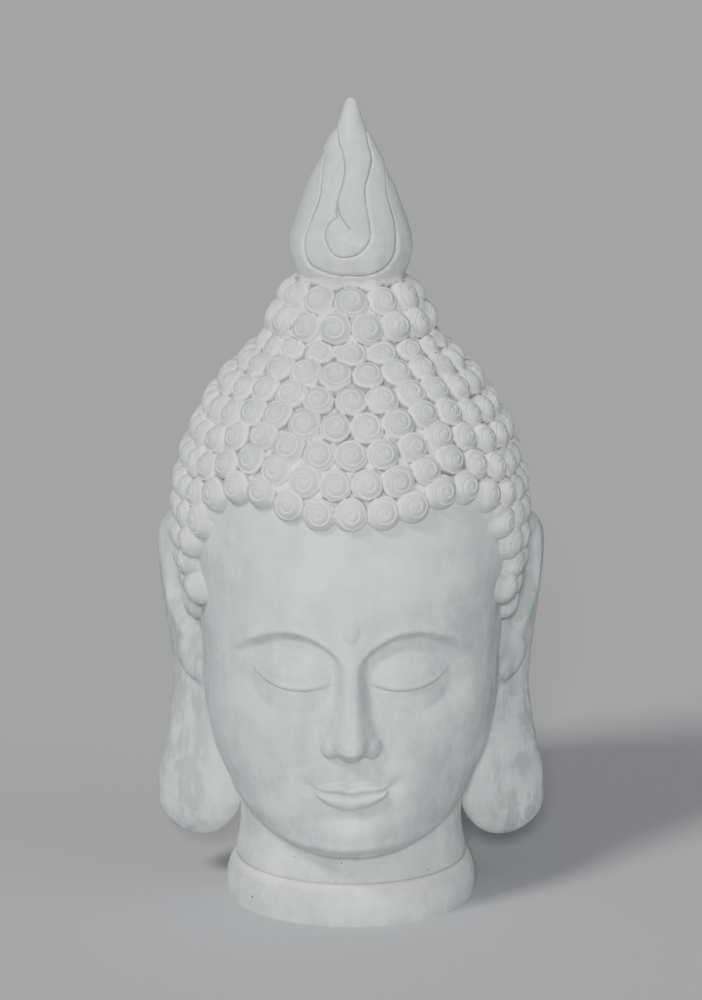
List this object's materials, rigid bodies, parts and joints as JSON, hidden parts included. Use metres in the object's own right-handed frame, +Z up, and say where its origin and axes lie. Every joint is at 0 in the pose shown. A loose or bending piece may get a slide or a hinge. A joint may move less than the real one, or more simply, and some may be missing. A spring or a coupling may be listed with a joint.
{
  "type": "buddha head sculpture",
  "caption": "Cast garden sculpture of a serene head with snail curls, long drop-shaped ears, a neck with a base roll and a flame finial.",
  "frame": {"origin": "centre of the flat underside of the neck's base roll", "axes": "+Z up along the neck's axis to the tip of the flame, the face looks along -Y, +X is to the right seen from the front"},
  "size_m": [0.3342, 0.3558, 0.7],
  "materials": {
    "cast_stone": "matt, painted pale grey with chalky white in the crevices"
  },
  "bodies": {
    "root": {"buddha_head": "cast_stone"}
  },
  "joints": []
}
